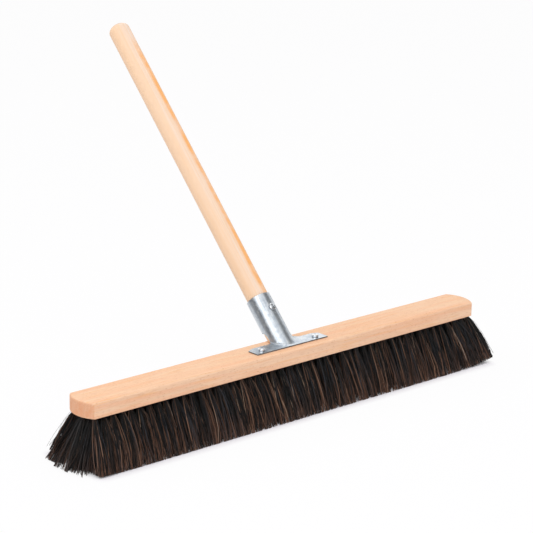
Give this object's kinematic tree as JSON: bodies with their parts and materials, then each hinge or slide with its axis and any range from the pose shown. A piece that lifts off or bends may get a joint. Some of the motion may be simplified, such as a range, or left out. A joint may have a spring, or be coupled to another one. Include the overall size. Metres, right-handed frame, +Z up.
{
  "type": "horsehair push broom",
  "caption": "Wide floor broom: a bow-ended beech block filled with dark horsehair, with a short round beech handle leaning back in a pressed steel socket.",
  "frame": {"origin": "on the floor under the middle of the block, at the flat-cut tip of the middle strand", "axes": "+Z up, +X along the block, +Y the side that the handle leans back to"},
  "size_m": [0.6398, 0.3669, 0.4081],
  "materials": {
    "beech_block": "satin",
    "beech_handle": "satin",
    "galvanised_sheet": "satin",
    "zinc_screws": "gloss",
    "horsehair": "satin"
  },
  "bodies": {
    "root": {"block": "beech_block", "handle": "beech_handle", "handle_socket": "galvanised_sheet", "plate_screw_left": "zinc_screws", "plate_screw_right": "zinc_screws", "socket_screw": "zinc_screws", "tuft_row_1": "horsehair", "tuft_row_2": "horsehair", "tuft_row_3": "horsehair", "tuft_row_4": "horsehair", "tuft_row_5": "horsehair"}
  },
  "joints": []
}
